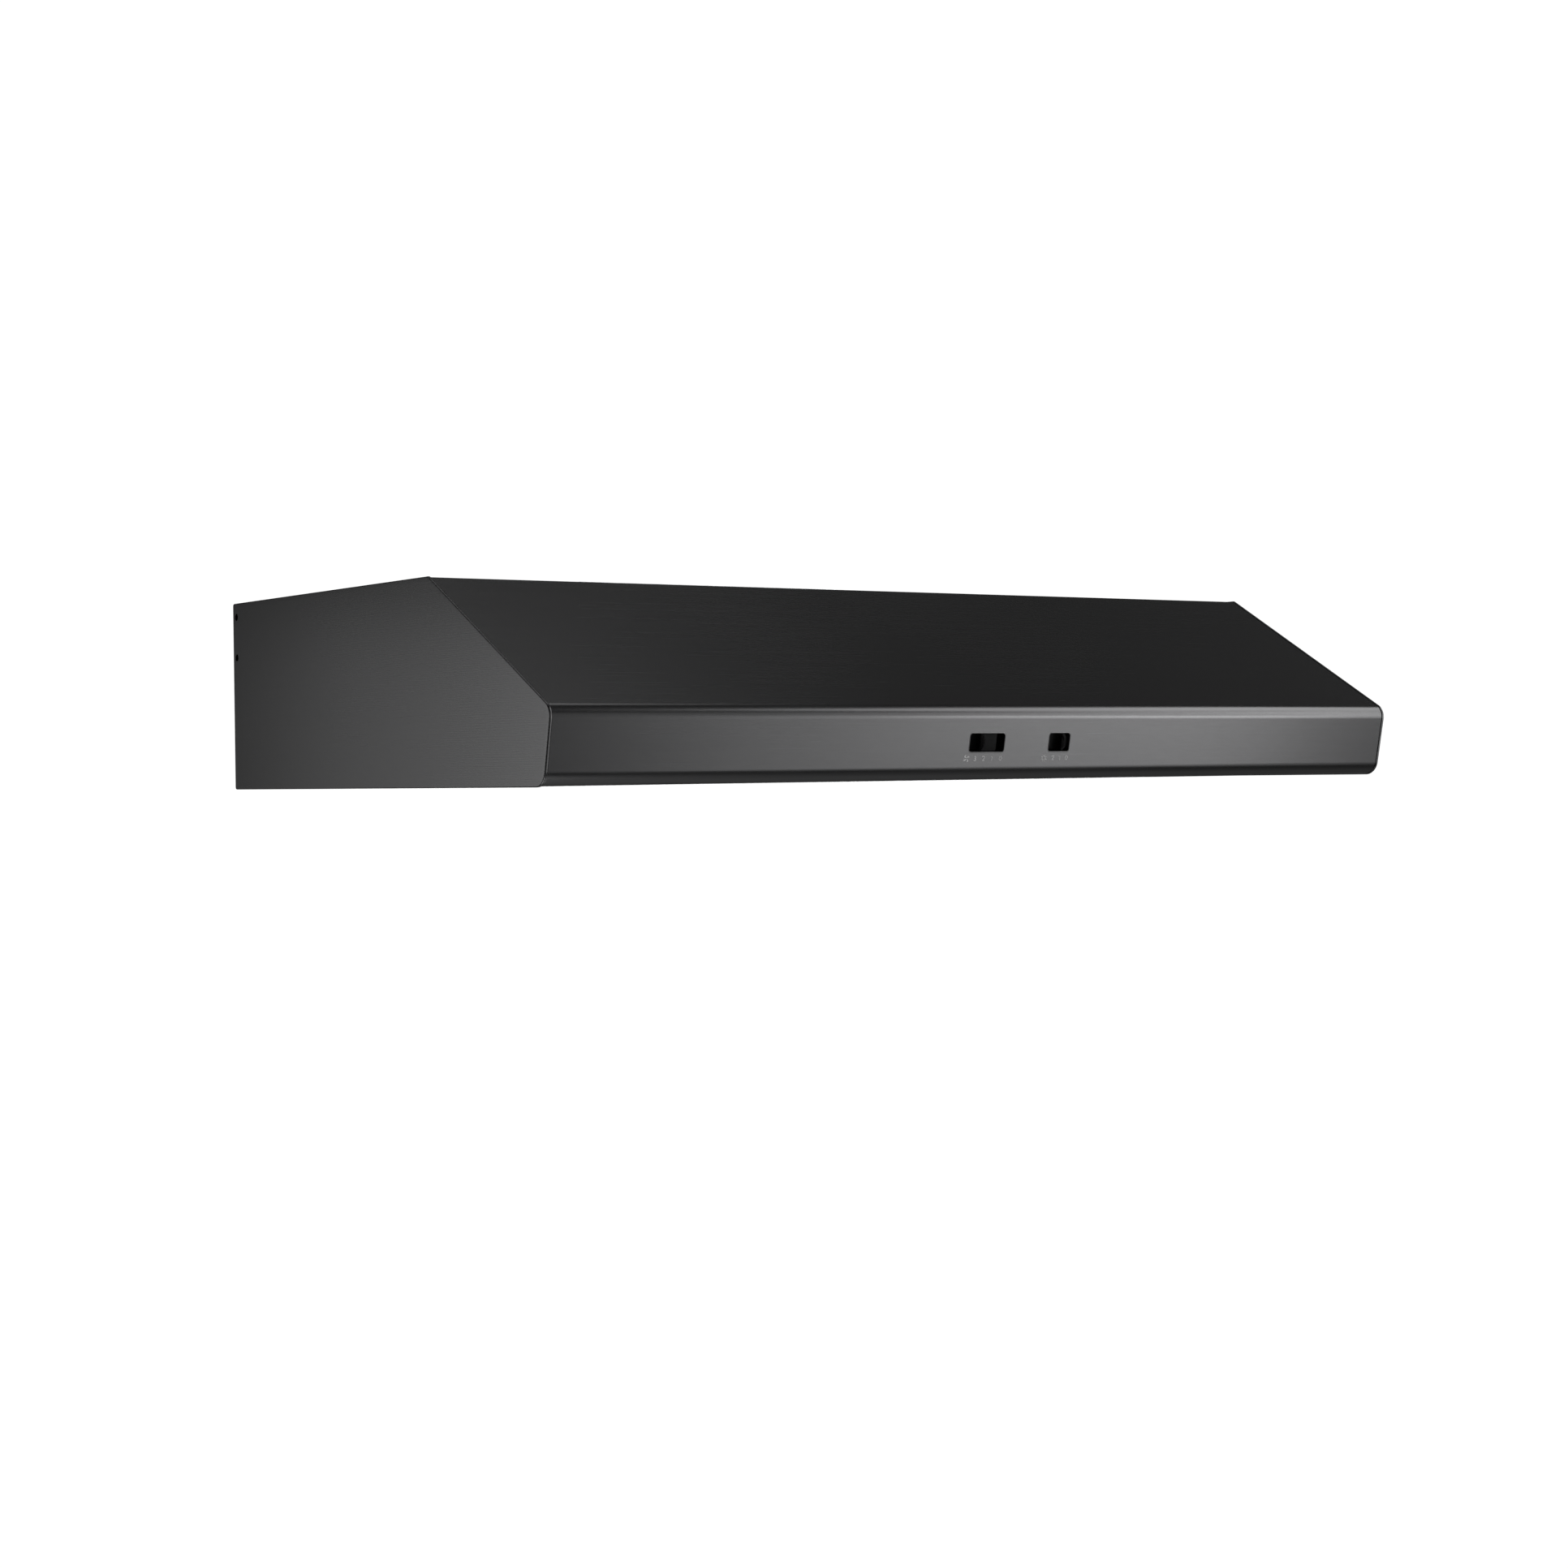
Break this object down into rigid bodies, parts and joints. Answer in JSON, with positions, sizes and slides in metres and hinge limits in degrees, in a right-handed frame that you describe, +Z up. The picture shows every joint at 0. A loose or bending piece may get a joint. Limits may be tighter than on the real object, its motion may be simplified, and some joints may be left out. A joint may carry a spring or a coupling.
{
  "type": "under cabinet range hood",
  "caption": "Low under-cabinet range hood: folded canopy with sloped front, slide controls, twin-wheel blower, hinged grease filters, lamps and a top duct collar.",
  "frame": {"origin": "centre of the four cabinet screw holes, on the outside of the top plate", "axes": "+X to the right seen from the front, +Y towards the wall, +Z up into the cabinet"},
  "size_m": [0.7588, 0.5073, 0.1646],
  "materials": {
    "black_steel": "brushed black stainless, satin clear coat",
    "black_steel_side": "brushed black stainless, satin clear coat",
    "galvanised": "galvanised sheet",
    "pan_paint": "satin black paint on sheet",
    "scroll_steel": "galvanised sheet",
    "collar_steel": "galvanised sheet",
    "flap_aluminium": "mill finish",
    "filter_frame_aluminium": "mill finish",
    "filter_mesh_aluminium": "expanded mesh layers",
    "spring_steel": "bright spring steel",
    "impeller_plastic": "pressed sheet",
    "shaft_steel": "ground steel",
    "rotor_iron": "stacked laminations",
    "copper_winding": "lacquered copper wire",
    "bell_aluminium": "die cast",
    "switch_plastic": "moulded black",
    "knob_plastic": "semi-gloss moulded black",
    "lamp_housing": "spun reflector",
    "lens_glass": "frosted",
    "led_board": "white solder mask",
    "terminal_plastic": "ivory moulding",
    "capacitor_shell": "drawn can",
    "wire_sleeve": "braided black sleeve",
    "screw_zinc": "zinc plated"
  },
  "bodies": {
    "hood": {"canopy_wrapper": "black_steel", "left_end_panel": "black_steel_side", "right_end_panel": "black_steel_side", "rear_panel": "galvanised", "rear_blanking_plate": "galvanised", "rear_pan": "pan_paint", "lamp_panel": "pan_paint", "centre_rail": "galvanised", "left_side_rail": "galvanised", "right_side_rail": "galvanised", "left_filter_clips": "spring_steel", "right_filter_clips": "spring_steel", "duct_collar": "collar_steel", "left_scroll": "scroll_steel", "right_scroll": "scroll_steel", "motor_stator": "rotor_iron", "motor_windings": "copper_winding", "motor_left_bell": "bell_aluminium", "motor_right_bell": "bell_aluminium", "motor_bearings": "shaft_steel", "motor_strap": "galvanised", "fan_switch_body": "switch_plastic", "light_switch_body": "switch_plastic", "left_lamp_body": "lamp_housing", "right_lamp_body": "lamp_housing", "left_lamp_lens": "lens_glass", "right_lamp_lens": "lens_glass", "lamp_boards": "led_board", "wiring_box": "galvanised", "wiring_box_cover": "galvanised", "terminal_block": "terminal_plastic", "run_capacitor": "capacitor_shell", "front_harness": "wire_sleeve", "motor_lead": "wire_sleeve", "blower_screws": "screw_zinc", "collar_screws": "screw_zinc", "cover_screws": "screw_zinc", "blanking_screws": "screw_zinc", "canopy_rivets": "screw_zinc"},
    "left_filter": {"left_filter_frame": "filter_frame_aluminium", "left_filter_mesh": "filter_mesh_aluminium", "left_filter_pull": "spring_steel"},
    "right_filter": {"right_filter_frame": "filter_frame_aluminium", "right_filter_mesh": "filter_mesh_aluminium", "right_filter_pull": "spring_steel"},
    "damper": {"damper_flap": "flap_aluminium", "damper_pin": "shaft_steel"},
    "rotor": {"motor_shaft": "shaft_steel", "motor_rotor": "rotor_iron", "left_impeller": "impeller_plastic", "right_impeller": "impeller_plastic"},
    "fan_knob": {"fan_slider": "knob_plastic"},
    "light_knob": {"light_slider": "knob_plastic"}
  },
  "joints": [
    {"name": "left_filter_tilt", "type": "hinge", "parent": "hood", "child": "left_filter", "pos_m": [-0.1775, -0.002, -0.1415], "axis": [1, 0, 0], "range_deg": [0, 75], "deforming": ["left_filter_clips"]},
    {"name": "right_filter_tilt", "type": "hinge", "parent": "hood", "child": "right_filter", "pos_m": [0.1775, -0.002, -0.1415], "axis": [1, 0, 0], "range_deg": [0, 75], "deforming": ["right_filter_clips"]},
    {"name": "damper_swing", "type": "hinge", "parent": "hood", "child": "damper", "pos_m": [0, 0.1248, 0.007], "axis": [-1, 0, 0], "range_deg": [0, 80]},
    {"name": "rotor_spin", "type": "hinge", "parent": "hood", "child": "rotor", "pos_m": [0, 0.07, -0.074], "axis": [1, 0, 0], "continuous": true},
    {"name": "fan_slide", "type": "slide", "parent": "hood", "child": "fan_knob", "axis": [1, 0, 0], "range_m": [-0.0154, 0.0077]},
    {"name": "light_slide", "type": "slide", "parent": "hood", "child": "light_knob", "axis": [1, 0, 0], "range_m": [-0.0129, 0]}
  ]
}
